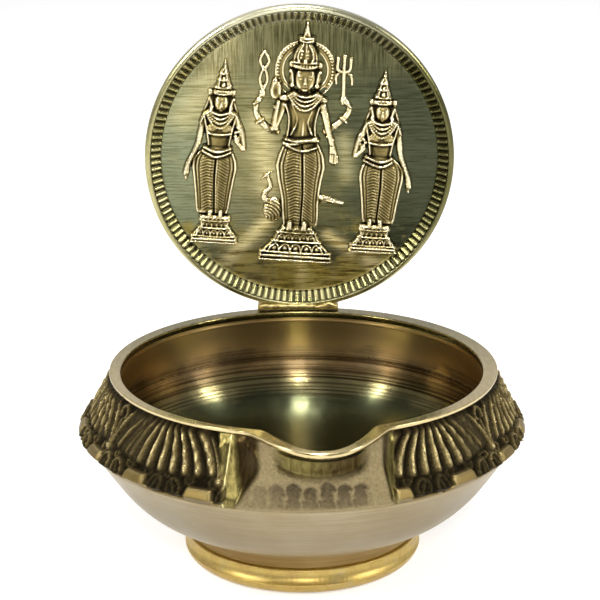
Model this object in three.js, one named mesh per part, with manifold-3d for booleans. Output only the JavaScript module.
// A small cast brass oil lamp, of the kind called a diya: an open bowl with a pinched spout and a
// band of fluted petals, on a turned ring foot. A round medallion with three standing figures in
// relief is brazed upright on the back of the rim. Nothing on it moves.
//
// Millimetres, +Z up, the spout towards -Y. The origin is on the table under the bowl's axis.

import * as THREE from "three";
import { mergeVertices } from "three/addons/utils/BufferGeometryUtils.js";
import Module from "manifold-3d";

const wasm = await Module();
wasm.setup();

// Joints between castings
const FILM = 0.15; // solder or braze film left between two pieces

// Foot
const FOOT_HEIGHT = 5.5;
const FOOT_LEDGE = 2.5; // how far the foot's top edge stands out past the neck
const FOOT_BULGE = 0.3; // the side's swell past the top edge
const FOOT_BULGE_HEIGHT = 2.4; // where the side is widest
const FOOT_UNDERCUT = 1.4; // how far the base draws in under the top edge
const FOOT_SOFTENING = 0.4; // broken edge at the top of the foot

// Bowl, from the neck up
const NECK_RADIUS = 21;
const COLLAR_FLARE = 1.8; // how far the collar spreads where it sits on the foot
const COLLAR_WALL = 4;
const COLLAR_HEIGHT = 2.65;
const UNDERSIDE_LIFT = 0.5; // the recess's roof above the neck
const BELLY_HEIGHT = 17.2;
const BELLY_LOW_PULL = [0.453, 0.138]; // the belly's curve, as shares from neck to band edge
const BELLY_HIGH_PULL = [0.613, 0.21];
const RIM_INNER_RADIUS = 35.85;
const RIM_WALL = 2.7;
const RIM_SHIFT_RIGHT = 0.35; // the cast outside lies off the turned inside by this much
const RIM_SHIFT_BACK = 0.9;
const RIM_BEVEL = 0.35; // broken edges of the rim's flat top
const RIM_FACE = 0.8; // the plain edge between the rim's top and the petals
const BOWL_WALL = 3.7; // wall of the belly inside the petal band
const FLOOR_THICKNESS = 3.2;
const WELL_DEPTH_TO_TURN = 9.5; // from the rim down to where the inside starts to close in
const WELL_ROUNDNESS = 0.27; // how high the inside's lower curve is pulled, from the floor up
const WELL_FLOOR_SHARE = 0.73; // how far out the flat of the floor reaches

// Petal band, with heights as shares from its lower edge to its top
const PALMETTES = 9;
const RIBS_PER_PALMETTE = 10;
const BAND_TURN = -1.5; // degrees that the palmettes lie off the medallion's line
const GROOVE_DEPTH = 1.1;
const GROOVE_SHALLOWING = 0.45; // how much of that is lost towards the rim
const JOINT_DEPTH = 0.9; // the hollow between two palmettes
const FAN_START = 0.3; // a fan's lines draw together above this
const FAN_END = 0.95;
const FAN_CLOSING = 0.24; // how far a whole fan draws in at its top
const FAN_INNER_CLOSING = 0.26; // how much more its middle lines do
const OUTER_GROOVE_PLACE = 0.982; // a fan's outermost groove, from its middle to its joint
const BAND_HEIGHT = 13.4;
const BAND_OVERHANG = 5.9; // how far the petal tips stand out past the rim
const BAND_LIP = 2.15; // how far the tips overhang the belly
const BAND_TIP_RISE = 1.8; // the tips above the band's lower edge
const BAND_TOP_INSET = 0.3; // the petals' top behind the rim's plain edge

// Leaves in a fringe under the fans, two on each side of a line half way out to the joint
const LEAF_HEIGHT = 2.5; // a leaf's middle above the band's lower edge
const LEAF_HALF_LENGTH = 2.1;
const LEAF_HALF_WIDTH = 1.55;
const LEAF_SPACING = 2.9; // degrees from that line to a leaf's middle
const LEAF_SWELL = 0.4; // a leaf past the band's cone
const FRINGE_DEPTH = 0.9; // the ground between leaves, behind the cone
const FRINGE_TOP = 3.4; // the plain patches between pairs of leaves end here
const PATCH_START = 5.5; // degrees from the pair's middle to the patch, at its foot
const PATCH_LEAN = 0.25; // degrees that the patch narrows for each millimetre up

// Spout. Sides are millimetres from its middle line, the left ones negative.
const SPOUT_TURN = 5; // degrees that the pinch lies off the medallion's line
const SPOUT_PROJECTION = 6.55; // the lip past the rim's outside
const SPOUT_MOUTH_HALF_WIDTH = 10.2;
const SPOUT_OUTER_HALF_WIDTH = 12.6;
const SPOUT_SHOULDER = 1; // rounding where the pinch leaves the round rim
const SPOUT_LIP_WALL = 1.4;
const SPOUT_DROP = 0.85; // the lip's inner edge below the rim
const SPOUT_LIP_ROLL = 0.5; // the lip's outer edge below its inner edge
const LIP_FACE = 0.95; // the lip's plain front
const LIP_FACE_INSET = 0.5; // the foot of that front behind its top
const THROAT_DEPTH = 4.4; // from the rim down to where the spout's floor runs into the well
const THROAT_RADIUS = 36.9; // the inside there, on the round rim
const THROAT_REACH = 40.4; // and under the spout's nose
const CHEEK_LEFT = -18.75; // where the petals start
const CHEEK_RIGHT = 13.75;
const NOTCH_LEFT = -15.45; // the deepest line of the filed notch
const NOTCH_RIGHT = 11.85;
const NOTCH_SLOPE = 0.32; // how fast the notch's two flats rise to the sides
const NOTCH_RUN_OUT = 0.12; // the share of the height over which they run out at each end
const BLOCK_FOOT_LEFT = -16.15; // the apron block's sides at its foot
const BLOCK_FOOT_RIGHT = 13.15;
const BLOCK_TOP_LEFT = -11.05; // and where its shoulders end
const BLOCK_TOP_RIGHT = 10.75;
const BLOCK_SHOULDER_START = 0.5; // above the band's lower edge
const BLOCK_SHOULDER_END = 9;
const APRON_INSET = 1.35; // the block behind the petal tips
const APRON_TOP = 5.5; // above the band's lower edge; from there the block swells to the lip
const APRON_RIB_DEPTH = 0.75;
const APRON_RIB_PITCH = 4.1; // degrees from one recess to the next
const APRON_RECESS_TURN = 5.65; // degrees from the medallion's line to one recess
const APRON_HALF_ANGLE = 15; // degrees to each side of that line with recesses
const APRON_GRID_END = 21; // degrees to each side where the grid is the petals' again
const POCKET_DEPTH = 1.5; // the hollow under the lip
const POCKET_HALF_WIDTH = 8.7;
const POCKET_OFFSET = -0.4; // its middle to the side of the spout's
const POCKET_FOOT = 6.2; // above the band's lower edge, in its middle
const POCKET_END_RISE = 2.3; // how much higher its foot is at its ends
const POCKET_TOP_LOSS = 0.6; // the share of its depth lost towards the lip

// Medallion
const MEDALLION_RADIUS = 32.7;
const MEDALLION_OVERHANG = 1.05; // its back past the rim's outside
const MEDALLION_LIFT = 0.6; // its lowest point above the rim
const GROUND_THICKNESS = 1.2;
const BORDER_RISE = 1.8; // the border's crest above the ground
const BORDER_EDGE_FALL = 0.7; // the outer edge behind the crest
const BORDER_EDGE_WIDTH = 1.2;
const BORDER_SLOPE_WIDTH = 2.3;

// Figures. Their layout is in units, so that it grows with the medallion: this many units reach
// from the medallion's middle to the foot of its border.
const ARTWORK_UNITS = 29.1;
const ARTWORK_TURN = 4; // degrees clockwise that they lean
const ROBE_FLATTENING = 0.44; // a body's depth as a share of its half width
const CROWN_FLATTENING = 0.75;
const PEDESTAL_WAIST = 0.84; // the waist's width as a share of the narrower end's
const LAYOUT = {
  leftAttendant: -17.2,
  rightAttendant: 16.9,
  pedestalDepth: 2.1,
  nimbusRadius: 6.2,
  nimbusThickness: 0.7,
  arm: 0.95,
  armHeight: 1.15,
};

// Braze saddle
const SADDLE_LENGTH = 15.4;
const SADDLE_FRONT_INSET = 0.12; // its front face behind the rim's inner edge
const SADDLE_FRONT_HEIGHT = 1.7;
const SADDLE_FRONT_SLOPE = 0.35; // the filed front's top edge below that
const SADDLE_BACK_REACH = 1.7; // behind the medallion
const SADDLE_BACK_HEIGHT = 2.6;
const SADDLE_BEAD_RADIUS = 1.25;
const LEFT_BEAD_REACH = 1.6; // half the left bead's length, past the saddle's end
const LEFT_BEAD_HEIGHT = 1.25;

// Fineness of the faces
const BELLY_RINGS = 5;
const FRINGE_RINGS = [0.2, 0.28, 0.34]; // above the tips, as shares of the band's height
const RIB_RINGS = [0.42, 0.56, 0.7, 0.82, 0.92];
const WELL_RINGS = [0, 0.22, 0.44, 0.7]; // along the inside's lower curve
const ARC_STEPS = 3;
const FOOT_SEGMENTS = 72;
const MEDALLION_SEGMENTS = 96;

// Heights and radii that follow
const rimOuterRadius = RIM_INNER_RADIUS + RIM_WALL;
const collarBase = FOOT_HEIGHT + FILM;
const neckHeight = collarBase + COLLAR_HEIGHT;
const undersideHeight = neckHeight + UNDERSIDE_LIFT;
const bandEdgeHeight = neckHeight + BELLY_HEIGHT;
const rimHeight = bandEdgeHeight + BAND_HEIGHT;
const bandTipRadius = rimOuterRadius + BAND_OVERHANG;
const bandEdgeRadius = bandTipRadius - BAND_LIP;
const tipShare = BAND_TIP_RISE / BAND_HEIGHT;
const boreRadius = NECK_RADIUS - COLLAR_WALL;
const wellRadius = bandEdgeRadius - BOWL_WALL;
const wellFloorHeight = undersideHeight + FLOOR_THICKNESS;
const lipOuterReach = rimOuterRadius + SPOUT_PROJECTION;
const lipInnerReach = lipOuterReach - SPOUT_LIP_WALL;
const medallionBackY = rimOuterRadius + MEDALLION_OVERHANG;
const medallionThickness = GROUND_THICKNESS + BORDER_RISE;
const medallionHeight = rimHeight + MEDALLION_LIFT + MEDALLION_RADIUS;
const fieldRadius = MEDALLION_RADIUS - BORDER_EDGE_WIDTH - BORDER_SLOPE_WIDTH;
const fanDegrees = 360 / PALMETTES;
const linesPerFan = 2 * RIBS_PER_PALMETTE + 2; // crests, grooves and the joint
const bandLines = PALMETTES * linesPerFan;

const radians = (degrees) => (degrees * Math.PI) / 180;
const mix = (a, b, t) => a + (b - a) * t;

function smoothStep(from, to, value) {
  const t = Math.min(Math.max((value - from) / (to - from), 0), 1);
  return t * t * (3 - 2 * t);
}

// The larger of two values, with the corner between them rounded over a given span.
function softMax(a, b, span) {
  const near = Math.max(span - Math.abs(a - b), 0) / span;
  return Math.max(a, b) + (near * near * span) / 4;
}

// A cubic Bezier between two points of a profile.
function bezier(start, pullStart, pullEnd, end, t) {
  const s = 1 - t;
  const blend = (k) =>
    s * s * s * start[k] + 3 * s * s * t * pullStart[k] + 3 * s * t * t * pullEnd[k] + t * t * t * end[k];
  return [blend(0), blend(1)];
}

// The points between the ends of a quarter ellipse, from the end where it stands upright to the
// end where it lies flat.
function quarterEllipse(upright, flat) {
  const points = [];
  for (let step = 1; step < ARC_STEPS; step += 1) {
    const turn = ((Math.PI / 2) * step) / ARC_STEPS;
    points.push([mix(upright[0], flat[0], 1 - Math.cos(turn)), mix(upright[1], flat[1], Math.sin(turn))]);
  }
  return points;
}

// How far from the axis a spout's parabola lies, in a direction at some angle from the spout's
// middle. The parabola's nose is at reach, and it meets a circle of rimRadius at halfWidth.
function parabolaRadius(reach, halfWidth, rimRadius, angle) {
  const cos = Math.cos(angle);
  const sin = Math.sin(angle);
  if (cos <= 0) return 0;
  const flat = (reach - Math.sqrt(rimRadius ** 2 - halfWidth ** 2)) / halfWidth ** 2;
  return (2 * reach) / (cos + Math.sqrt(cos * cos + 4 * reach * flat * sin * sin));
}

// The angle between a direction and the spout's middle, from -180 to 180 degrees.
const fromSpout = (degrees) => ((degrees - SPOUT_TURN + 540) % 360) - 180;

// How far the cast outside stands out in a direction because it lies off the turned inside.
const rimShift = (degrees) =>
  RIM_SHIFT_RIGHT * Math.sin(radians(degrees)) - RIM_SHIFT_BACK * Math.cos(radians(degrees));

// The rim's two edges: a circle that the spout's parabola grows out of.
function outerRimRadius(degrees) {
  const angle = radians(fromSpout(degrees));
  const lip = parabolaRadius(lipOuterReach, SPOUT_OUTER_HALF_WIDTH, rimOuterRadius, angle);
  return softMax(rimOuterRadius + rimShift(degrees), lip, SPOUT_SHOULDER);
}

function innerRimRadius(degrees) {
  const angle = radians(fromSpout(degrees));
  const lip = parabolaRadius(lipInnerReach, SPOUT_MOUTH_HALF_WIDTH, RIM_INNER_RADIUS, angle);
  return softMax(RIM_INNER_RADIUS, lip, SPOUT_SHOULDER);
}

// How far out along the spout a direction's rim lies, from 0 on the round rim to 1 at the nose.
const spoutShare = (degrees) =>
  (innerRimRadius(degrees) - RIM_INNER_RADIUS) / (lipInnerReach - RIM_INNER_RADIUS);
const innerRimHeight = (degrees) => rimHeight - SPOUT_DROP * spoutShare(degrees);
const outerRimHeight = (degrees) => innerRimHeight(degrees) - SPOUT_LIP_ROLL * spoutShare(degrees);

// Where the petals and the apron end, under the rim's plain edge.
function bandTop(degrees) {
  const share = spoutShare(degrees);
  return {
    r: outerRimRadius(degrees) - mix(BAND_TOP_INSET, LIP_FACE_INSET, share),
    z: outerRimHeight(degrees) - mix(RIM_FACE, LIP_FACE, share),
  };
}

// What a grid line of the petal band runs along. The grid has a line on each crest and groove of
// a palmette, the outermost two in grooves, and one on the joint to the next palmette.
function fanLine(line) {
  const shifted = line + linesPerFan / 2;
  const step = shifted % linesPerFan;
  const palmette = Math.floor(shifted / linesPerFan);
  return { palmette, step, isJoint: step === 0, isGroove: step % 2 === 1 };
}

// Where a grid line lies at one height. A palmette's lines draw together towards its middle as
// they rise, while its joints stay where they are.
function fanAngle(line, rise) {
  const { palmette, step, isJoint } = fanLine(line);
  const halfFan = linesPerFan / 2;
  const start = ((step - halfFan) / (halfFan - 1)) * OUTER_GROOVE_PLACE;
  const lift = Math.min(Math.max((rise - FAN_START) / (FAN_END - FAN_START), 0), 1) ** 2;
  const width = 1 - FAN_CLOSING * lift;
  const drawn = isJoint ? -1 : start * (width - FAN_INNER_CLOSING * lift * (1 - start ** 4));
  return BAND_TURN + fanDegrees * (palmette + drawn / 2);
}

// The same, with every second line under the spout moved onto a recess of the apron.
function bandAngle(line, rise) {
  const order = line > bandLines / 2 ? line - bandLines : line;
  const turns = order === line ? 0 : 360;
  const base = fanAngle(line, 0) - turns;
  const share = 1 - smoothStep(APRON_HALF_ANGLE, APRON_GRID_END, Math.abs(base));
  const spacing = (fanDegrees * OUTER_GROOVE_PLACE) / (linesPerFan - 2);
  const recessLine = 2 * Math.round((APRON_RECESS_TURN - BAND_TURN) / (2 * spacing));
  const aligned = APRON_RECESS_TURN + ((order - recessLine) * APRON_RIB_PITCH) / 2;
  return mix(fanAngle(line, rise) - turns, aligned, share);
}

// The band without its petals: out from its lower edge to the tips, then in along a cone.
function coneRadius(degrees, rise) {
  if (rise < tipShare) return mix(bandEdgeRadius, bandTipRadius, rise / tipShare);
  const top = rimOuterRadius + rimShift(degrees) - BAND_TOP_INSET;
  return mix(bandTipRadius, top, (rise - tipShare) / (1 - tipShare));
}

// How far the fringe of leaves stands out of that cone.
function fringeOffset(degrees, height) {
  const turned = Math.abs(((degrees - BAND_TURN + 540) % 360) - 180);
  const place = turned / (fanDegrees / 2) - 0.25;
  const pair = (place - Math.floor(place) - 0.5) * (fanDegrees / 2);
  const up = height - bandEdgeHeight;
  const across = radians(Math.abs(pair) - LEAF_SPACING) * bandTipRadius;
  const reach = Math.hypot(across / LEAF_HALF_WIDTH, (up - LEAF_HEIGHT) / LEAF_HALF_LENGTH);
  if (up < FRINGE_TOP && Math.abs(pair) > PATCH_START + PATCH_LEAN * up) return 0;
  return mix(-FRINGE_DEPTH, LEAF_SWELL, Math.exp(-(reach ** 4)));
}

function petalOffset(line, degrees, rise, height) {
  const { isJoint, isGroove } = fanLine(line);
  if (rise < RIB_RINGS[0]) return fringeOffset(degrees, height) * smoothStep(0, tipShare, rise);
  const shallowing = 1 - GROOVE_SHALLOWING * smoothStep(RIB_RINGS[3], 1, rise);
  if (isJoint) return -JOINT_DEPTH * shallowing;
  return isGroove ? -GROOVE_DEPTH * shallowing : 0;
}

// The surface under the spout: a block with recesses, and above it the underside of the lip with
// its hollow.
function blockRadius(line, degrees, height, side) {
  const top = bandTop(degrees);
  const up = height - bandEdgeHeight;
  const swell = smoothStep(bandEdgeHeight + APRON_TOP, top.z, height);
  const front = mix(bandTipRadius - APRON_INSET, top.r, swell);
  const hasRecess = Math.abs(degrees) < APRON_HALF_ANGLE + 1 && up > 0 && up < APRON_TOP;
  const recess = hasRecess && fanLine(line).isGroove ? APRON_RIB_DEPTH : 0;
  const pocketSide = (side - POCKET_OFFSET) / POCKET_HALF_WIDTH;
  const foot = POCKET_FOOT + POCKET_END_RISE * pocketSide ** 2;
  const pocket = smoothStep(foot, foot + 1, up) * (1 - smoothStep(0.8, 1, Math.abs(pocketSide)));
  const edge = up > 0 ? front : bandEdgeRadius;
  return edge - recess - POCKET_DEPTH * pocket * (1 - POCKET_TOP_LOSS * swell ** 4);
}

// A filed notch to each side of the block: two upright flats that meet in its deepest line.
function notchRadius(degrees, rise, side) {
  const deepest = side < 0 ? NOTCH_LEFT : NOTCH_RIGHT;
  const runOut = smoothStep(0, NOTCH_RUN_OUT, rise) * (1 - smoothStep(1 - NOTCH_RUN_OUT, 1, rise));
  return mix(bandEdgeRadius, bandTop(degrees).r, rise) + NOTCH_SLOPE * Math.abs(side - deepest) * runOut;
}

// One point of the bowl's outside between the band's lower edge and the rim. Rise is 0 at the
// lower edge and 1 under the rim. The petals give way to the notches and block under the spout.
function bandPoint(line, rise) {
  const degrees = bandAngle(line, rise);
  const height = mix(bandEdgeHeight, bandTop(degrees).z, rise);
  const cone = coneRadius(degrees, rise);
  const off = fromSpout(degrees);
  const side = cone * Math.sin(radians(Math.min(Math.max(off, -90), 90)));
  if (side < CHEEK_LEFT || side > CHEEK_RIGHT) {
    const offset = rise < 1 ? petalOffset(line, degrees, rise, height) : 0;
    return { degrees, r: cone + offset, z: height };
  }
  const shoulder = smoothStep(BLOCK_SHOULDER_START, BLOCK_SHOULDER_END, height - bandEdgeHeight);
  const left = mix(BLOCK_FOOT_LEFT, BLOCK_TOP_LEFT, shoulder);
  const right = mix(BLOCK_FOOT_RIGHT, BLOCK_TOP_RIGHT, shoulder);
  const isBlock = side > left && side < right;
  const r = isBlock ? blockRadius(line, degrees, height, side) : notchRadius(degrees, rise, side);
  return { degrees, r, z: height };
}

// The rings of the bowl's surface, from the underside out over the belly, the band and the rim,
// and down the inside to the floor. Each ring gives a point for a grid line.
function bowlRings() {
  const round = (r, z) => (line) => ({ degrees: bandAngle(line, 0), r, z });

  const neck = [NECK_RADIUS, neckHeight];
  const edge = [bandEdgeRadius, bandEdgeHeight];
  const pull = ([out, up]) => [mix(NECK_RADIUS, bandEdgeRadius, out), mix(neckHeight, bandEdgeHeight, up)];
  const belly = [];
  for (let ring = 1; ring <= BELLY_RINGS; ring += 1) {
    const t = ring / (BELLY_RINGS + 1);
    belly.push(round(...bezier(neck, pull(BELLY_LOW_PULL), pull(BELLY_HIGH_PULL), edge, t)));
  }

  const rises = [0, tipShare, ...FRINGE_RINGS, ...RIB_RINGS, 1];
  const band = rises.map((rise) => (line) => bandPoint(line, rise));

  const rimPoint = (radius, height, inset, drop) => (line) => {
    const degrees = bandAngle(line, 0);
    return { degrees, r: radius(degrees) + inset, z: height(degrees) - drop };
  };
  const throat = (line) => {
    const degrees = bandAngle(line, 0);
    const r = mix(THROAT_RADIUS, THROAT_REACH, spoutShare(degrees));
    return { degrees, r, z: rimHeight - THROAT_DEPTH };
  };

  const wellTurn = [wellRadius, rimHeight - WELL_DEPTH_TO_TURN];
  const wellPull = [wellRadius, mix(wellFloorHeight, wellTurn[1], WELL_ROUNDNESS)];
  const floorPull = [wellRadius * WELL_FLOOR_SHARE, wellFloorHeight];
  const floorCentre = [0, wellFloorHeight];
  const well = WELL_RINGS.map((t) => round(...bezier(wellTurn, wellPull, floorPull, floorCentre, t)));

  return [
    round(boreRadius, undersideHeight),
    round(boreRadius, collarBase),
    round(NECK_RADIUS + COLLAR_FLARE, collarBase),
    round(...neck),
    ...belly,
    ...band,
    rimPoint(outerRimRadius, outerRimHeight, 0, RIM_BEVEL),
    rimPoint(outerRimRadius, outerRimHeight, -RIM_BEVEL, 0),
    rimPoint(innerRimRadius, innerRimHeight, 0, 0),
    throat,
    ...well,
  ];
}

// A closed surface made of rings round the axis, with a point on the axis at each end.
function ringSurface(rings, lines, startHeight, endHeight) {
  const positions = [0, 0, startHeight];
  for (const ring of rings) {
    for (let line = 0; line < lines; line += 1) {
      const { degrees, r, z } = ring(line);
      const angle = radians(degrees);
      positions.push(r * Math.sin(angle), -r * Math.cos(angle), z);
    }
  }
  positions.push(0, 0, endHeight);

  const index = [];
  const at = (ring, line) => 1 + ring * lines + (line % lines);
  const last = 1 + rings.length * lines;
  for (let line = 0; line < lines; line += 1) {
    index.push(0, at(0, line + 1), at(0, line));
    index.push(last, at(rings.length - 1, line), at(rings.length - 1, line + 1));
    for (let ring = 0; ring < rings.length - 1; ring += 1) {
      index.push(at(ring, line), at(ring, line + 1), at(ring + 1, line));
      index.push(at(ring, line + 1), at(ring + 1, line + 1), at(ring + 1, line));
    }
  }
  const geometry = new THREE.BufferGeometry();
  geometry.setAttribute("position", new THREE.Float32BufferAttribute(positions, 3));
  geometry.setIndex(index);
  geometry.computeVertexNormals();
  return geometry;
}

function bowlGeometry() {
  return ringSurface(bowlRings(), bandLines, undersideHeight, wellFloorHeight);
}

// A turned shape from a profile of [radius, height] points, with its axis along Z.
function turned(profile, segments) {
  const points = profile.map(([r, z]) => new THREE.Vector2(r, z));
  const geometry = new THREE.LatheGeometry(points, segments);
  geometry.rotateX(Math.PI / 2);
  return geometry;
}

function footGeometry() {
  const edge = NECK_RADIUS + FOOT_LEDGE;
  const widest = [edge + FOOT_BULGE, FOOT_BULGE_HEIGHT];
  const base = [edge - FOOT_UNDERCUT, 0];
  const profile = [
    [boreRadius, 0],
    base,
    ...quarterEllipse(widest, base).reverse(),
    widest,
    [edge, FOOT_HEIGHT - FOOT_SOFTENING],
    [edge - FOOT_SOFTENING, FOOT_HEIGHT],
    [boreRadius, FOOT_HEIGHT],
    [boreRadius, 0],
  ];
  return turned(profile, FOOT_SEGMENTS);
}

// The medallion's disc, its back at height 0 and its face towards +Z.
function medallionGeometry() {
  const outerEdge = [MEDALLION_RADIUS, medallionThickness - BORDER_EDGE_FALL];
  const crest = [MEDALLION_RADIUS - BORDER_EDGE_WIDTH, medallionThickness];
  const profile = [
    [0, 0],
    [MEDALLION_RADIUS, 0],
    outerEdge,
    ...quarterEllipse(outerEdge, crest),
    crest,
    [fieldRadius, GROUND_THICKNESS],
    [0, GROUND_THICKNESS],
  ];
  return turned(profile, MEDALLION_SEGMENTS);
}

// Joining and cutting of closed shapes

function solidOf(geometry) {
  const bare = geometry.clone();
  bare.deleteAttribute("normal");
  bare.deleteAttribute("uv");
  const merged = mergeVertices(bare, 1e-4);
  return new wasm.Manifold(
    new wasm.Mesh({
      numProp: 3,
      vertProperties: new Float32Array(merged.attributes.position.array),
      triVerts: new Uint32Array(merged.index.array),
    }),
  );
}

function geometryOf(solid) {
  const mesh = solid.getMesh();
  const geometry = new THREE.BufferGeometry();
  geometry.setAttribute("position", new THREE.BufferAttribute(new Float32Array(mesh.vertProperties), 3));
  geometry.setIndex(new THREE.BufferAttribute(new Uint32Array(mesh.triVerts), 1));
  geometry.computeVertexNormals();
  return geometry;
}

const joined = (geometries) => geometries.map(solidOf).reduce((whole, next) => whole.add(next));

// A cube of half-space size, to cut with.
function block(size, x, y, z) {
  return new THREE.BoxGeometry(size, size, size).translate(x, y, z);
}

// Figures in relief. They are laid out on the medallion's face: x to the right and y up from its
// middle, z out of the ground, all in the layout's units.

// A rounded body with a profile of [half width, height] points, flattened against the ground.
function flattenedBody(profile, x, depthShare, segments) {
  const points = profile.map(([r, y]) => new THREE.Vector2(r, y));
  return new THREE.LatheGeometry(points, segments).scale(1, 1, depthShare).translate(x, 0, 0);
}

function ball(radius, x, y, z) {
  return new THREE.SphereGeometry(radius, 10, 7).translate(x, y, z);
}

// A round limb between two points of the face, at a height over the ground.
function limb(radius, from, to, z) {
  const run = new THREE.Vector2(to[0] - from[0], to[1] - from[1]);
  const rod = new THREE.CapsuleGeometry(radius, run.length(), 2, 7);
  rod.rotateZ(Math.atan2(run.y, run.x) - Math.PI / 2);
  return rod.translate((from[0] + to[0]) / 2, (from[1] + to[1]) / 2, z);
}

// A lotus pedestal: a waisted block seen from the front.
function pedestal(x, top, base, topHalf, baseHalf) {
  const waist = mix(base, top, 0.5);
  const profile = [
    [0, base],
    [baseHalf, base],
    [baseHalf, mix(base, waist, 0.5)],
    [Math.min(topHalf, baseHalf) * PEDESTAL_WAIST, waist],
    [topHalf, mix(waist, top, 0.5)],
    [topHalf, top],
    [0, top],
  ];
  return flattenedBody(profile, x, LAYOUT.pedestalDepth / baseHalf, 14);
}

// The standing four-armed figure, with its nimbus, its bird, and what its upper hands hold.
function deityShapes() {
  const robe = [
    [0, -16], [3.2, -16], [4.5, -14.6], [3.9, -10.5], [4.1, -6], [5.2, -1.5], [5.4, 0.4], [4.2, 3.4],
    [3.1, 5.8], [3.6, 8.6], [4.5, 11.6], [4, 13], [1.5, 14.2], [1.3, 15.6], [0, 15.6],
  ];
  const crown = [
    [0, 18.6], [2.9, 18.6], [2.7, 20.6], [2.1, 22.8], [1.9, 24.2], [1, 26.2], [0.35, 28.4], [0, 28.6],
  ];
  const { nimbusRadius, nimbusThickness } = LAYOUT;
  const nimbus = new THREE.CylinderGeometry(nimbusRadius, nimbusRadius, nimbusThickness, 24);
  const body = [
    pedestal(0.2, -15.8, -21.8, 7.1, 8.1),
    flattenedBody(robe, 0.2, ROBE_FLATTENING, 12),
    ball(2.6, 0.5, 17.6, 0.5),
    flattenedBody(crown, 0.3, CROWN_FLATTENING, 10),
    nimbus.rotateX(Math.PI / 2).translate(0.1, 19.4, nimbusThickness / 2),
  ];
  const arms = [
    limb(LAYOUT.arm, [-3.6, 12.2], [-9.3, 10.6], LAYOUT.armHeight),
    limb(LAYOUT.arm, [-9.3, 10.6], [-8.4, 15.6], LAYOUT.armHeight),
    limb(LAYOUT.arm, [-3.9, 12], [-5.4, 6.4], LAYOUT.armHeight),
    limb(LAYOUT.arm, [-5.4, 6.4], [-5.8, 13.4], LAYOUT.armHeight),
    limb(LAYOUT.arm, [3.9, 12.4], [8, 9.2], LAYOUT.armHeight),
    limb(LAYOUT.arm, [8, 9.2], [8.4, 16.6], LAYOUT.armHeight),
    limb(LAYOUT.arm, [4, 12], [7.3, 6.6], LAYOUT.armHeight),
    limb(LAYOUT.arm, [7.3, 6.6], [7.7, 0.8], LAYOUT.armHeight),
  ];
  const held = [
    limb(0.5, [-8.4, 14.6], [-8.7, 22], 0.6),
    limb(0.5, [8.4, 16.4], [8.4, 22.4], 0.6),
    limb(0.42, [8.4, 18.6], [7, 21.8], 0.6),
    limb(0.42, [8.4, 18.6], [9.8, 21.8], 0.6),
  ];
  const bird = [
    flattenedBody([[0, -15.6], [2, -14.8], [3, -12], [2.2, -9], [0, -7.6]], -4.4, ROBE_FLATTENING, 10),
    limb(0.9, [-5.4, -11], [-7, -5.4], 0.8),
    ball(1.15, -7.4, -4, 0.6),
    limb(1.25, [2, -11.5], [7.4, -8.6], 0.6),
  ];
  return [...body, ...arms, ...held, ...bird];
}

// A standing attendant, with one arm bent to hold a flower and the other hanging. Side is 1 where
// the flower is to the right of the body.
function attendantShapes(x, side) {
  const robe = [
    [0, -14.2], [2.8, -14.2], [3.7, -13], [3.2, -9.4], [3.5, -5.6], [4.4, -1.8], [4.6, -0.4], [3.4, 2.2],
    [2.5, 4], [3, 6], [3.6, 7.6], [3.1, 8.7], [1.1, 9.6], [1, 10.4], [0, 10.4],
  ];
  const crown = [[0, 12.6], [2.2, 12.6], [2, 14.2], [1.6, 15.6], [0.8, 17.4], [0.3, 19.4], [0, 19.6]];
  return [
    pedestal(x, -13.9, -19.3, 4.6, 5.2),
    flattenedBody(robe, x, ROBE_FLATTENING, 12),
    ball(2, x, 11.6, 0.5),
    flattenedBody(crown, x, CROWN_FLATTENING, 9),
    limb(0.8, [x + side * 3, 7.4], [x + side * 4.9, 3.2], 1),
    limb(0.8, [x + side * 4.9, 3.2], [x + side * 3.4, 5.4], 1.2),
    ball(1.1, x + side * 3.6, 5.8, 1.2),
    limb(0.8, [x - side * 3, 7.6], [x - side * 5.2, 1.6], 0.9),
    limb(0.75, [x - side * 5.2, 1.6], [x - side * 6.1, -5], 0.8),
  ];
}

// A figure's shapes joined into one casting, with a flat back a film's thickness off the ground.
function reliefGeometry(shapes) {
  const scale = fieldRadius / ARTWORK_UNITS;
  const reach = 4 * fieldRadius;
  const whole = joined(shapes.map((shape) => shape.scale(scale, scale, scale)));
  const front = solidOf(block(reach, 0, 0, reach / 2 + FILM));
  return geometryOf(whole.intersect(front));
}

// The saddle's cross-section: a filed front, a ledge under the medallion and a fillet behind it.
function saddleOutline(frontY, base) {
  const crestY = medallionBackY - medallionThickness;
  const outline = new THREE.Shape();
  outline.moveTo(frontY, base);
  outline.lineTo(medallionBackY + SADDLE_BACK_REACH, base);
  outline.quadraticCurveTo(
    medallionBackY + SADDLE_BACK_REACH / 2,
    base + SADDLE_BACK_HEIGHT / 3,
    medallionBackY + 2 * FILM,
    base + SADDLE_BACK_HEIGHT,
  );
  outline.lineTo(crestY - FILM, base + SADDLE_FRONT_HEIGHT);
  outline.lineTo(frontY + FILM, base + SADDLE_FRONT_HEIGHT - SADDLE_FRONT_SLOPE);
  return outline;
}

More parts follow.
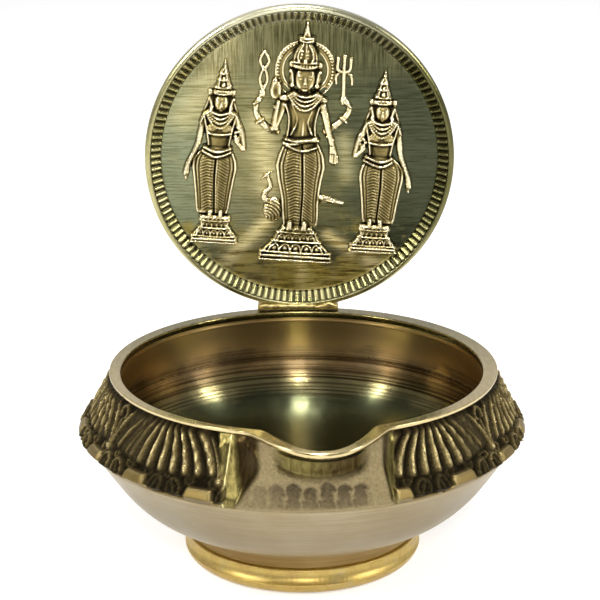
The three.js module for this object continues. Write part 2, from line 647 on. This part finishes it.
// The braze that seats the medallion on the rim: a saddle under its edge, filed flat in front,
// with a ragged bead at each end. It is cut by the medallion and stands on the rim's flat top.
function saddleGeometry() {
  const base = rimHeight + FILM;
  const frontY = RIM_INNER_RADIUS + SADDLE_FRONT_INSET;
  const bar = new THREE.ExtrudeGeometry(saddleOutline(frontY, base), {
    depth: SADDLE_LENGTH,
    bevelEnabled: false,
    steps: 1,
    curveSegments: ARC_STEPS,
  });
  // The outline's x and y become the lamp's Y and Z, and the extrusion runs along X.
  const end = SADDLE_LENGTH / 2;
  bar.applyMatrix4(new THREE.Matrix4().set(0, 0, 1, -end, 1, 0, 0, 0, 0, 1, 0, 0, 0, 0, 0, 1));

  const beadY = frontY + SADDLE_BEAD_RADIUS;
  const leftBead = ball(1, 0, 0, 0).scale(LEFT_BEAD_REACH, SADDLE_BEAD_RADIUS, LEFT_BEAD_HEIGHT);
  leftBead.translate(-end, beadY, base);
  const rightBead = ball(SADDLE_BEAD_RADIUS, 0, 0, 0);
  rightBead.translate(end - SADDLE_BEAD_RADIUS / 2, beadY, base + SADDLE_BEAD_RADIUS);

  const cutRadius = MEDALLION_RADIUS + FILM;
  const cutLength = medallionThickness + 2 * FILM;
  const disc = new THREE.CylinderGeometry(cutRadius, cutRadius, cutLength, MEDALLION_SEGMENTS);
  disc.translate(0, medallionBackY + FILM - cutLength / 2, medallionHeight);

  const reach = 2 * SADDLE_LENGTH;
  const above = solidOf(block(reach, 0, medallionBackY, base + reach / 2));
  const inward = solidOf(block(reach, 0, frontY - reach / 2, base));
  const whole = joined([bar, leftBead, rightBead]).intersect(above).subtract(inward);
  return geometryOf(whole.subtract(solidOf(disc)));
}

// Finishes, as seen on the lamp

function brass(color, roughness) {
  return new THREE.MeshStandardMaterial({ color, roughness, metalness: 1 });
}

const castBrass = brass(0xb8a070, 0.38);
const turnedBrass = brass(0xc9a24a, 0.25);
const struckBrass = brass(0x9c9058, 0.3);
const reliefBrass = brass(0xd0b465, 0.3);
const brazeMetal = brass(0xe0c878, 0.35);

function piece(name, geometry, material) {
  const mesh = new THREE.Mesh(geometry, material);
  mesh.name = name;
  return mesh;
}

const lamp = new THREE.Group();
lamp.add(piece("bowl", bowlGeometry(), castBrass));
lamp.add(piece("foot_ring", footGeometry(), turnedBrass));
lamp.add(piece("braze_saddle", saddleGeometry(), brazeMetal));

// The medallion's own frame has its face towards +Z, so the group turns it to face the spout.
const medallion = new THREE.Group();
medallion.rotation.x = Math.PI / 2;
medallion.position.set(0, medallionBackY, medallionHeight);
medallion.add(piece("medallion_disc", medallionGeometry(), struckBrass));
lamp.add(medallion);

const artwork = new THREE.Group();
artwork.rotation.z = -radians(ARTWORK_TURN);
artwork.position.z = GROUND_THICKNESS;
artwork.add(piece("deity_relief", reliefGeometry(deityShapes()), reliefBrass));
const leftAttendant = reliefGeometry(attendantShapes(LAYOUT.leftAttendant, 1));
const rightAttendant = reliefGeometry(attendantShapes(LAYOUT.rightAttendant, -1));
artwork.add(piece("left_attendant_relief", leftAttendant, reliefBrass));
artwork.add(piece("right_attendant_relief", rightAttendant, reliefBrass));
medallion.add(artwork);

export default lamp;
